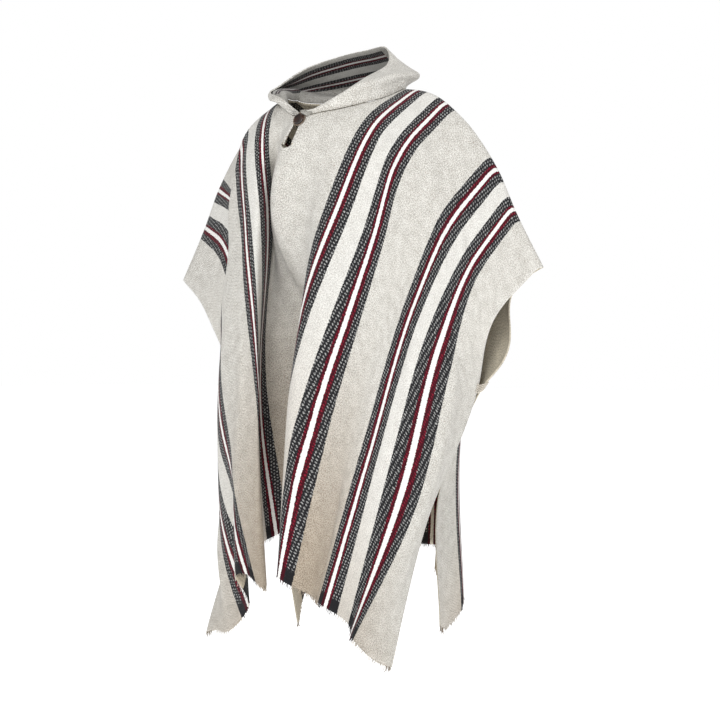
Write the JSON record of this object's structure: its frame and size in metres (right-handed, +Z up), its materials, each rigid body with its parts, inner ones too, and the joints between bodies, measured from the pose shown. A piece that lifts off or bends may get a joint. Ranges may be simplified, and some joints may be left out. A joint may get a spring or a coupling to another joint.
{
  "type": "hooded wool poncho",
  "caption": "Hip-length hooded poncho worn by no one: a striped wool cloth over the shoulders, a buttoned slit neck, a folded-down hood, sides tacked at the elbows and open below.",
  "frame": {"origin": "Where the wearer's shoulders carry the cloth, at the root of the neck", "axes": "+X to the wearer's left, -Y the way the wearer faces, +Z up"},
  "size_m": [0.7478, 0.4459, 1.0003],
  "materials": {
    "wool": "brushed woven wool",
    "hood_wool": "brushed woven wool",
    "horn": "polished dark brown",
    "cord": "twisted wool cord",
    "thread": "wool thread"
  },
  "bodies": {
    "root": {"front": "wool", "back": "wool", "hood": "hood_wool", "button": "horn", "button_loop": "cord", "left_side_tack": "thread", "right_side_tack": "thread"}
  },
  "joints": []
}
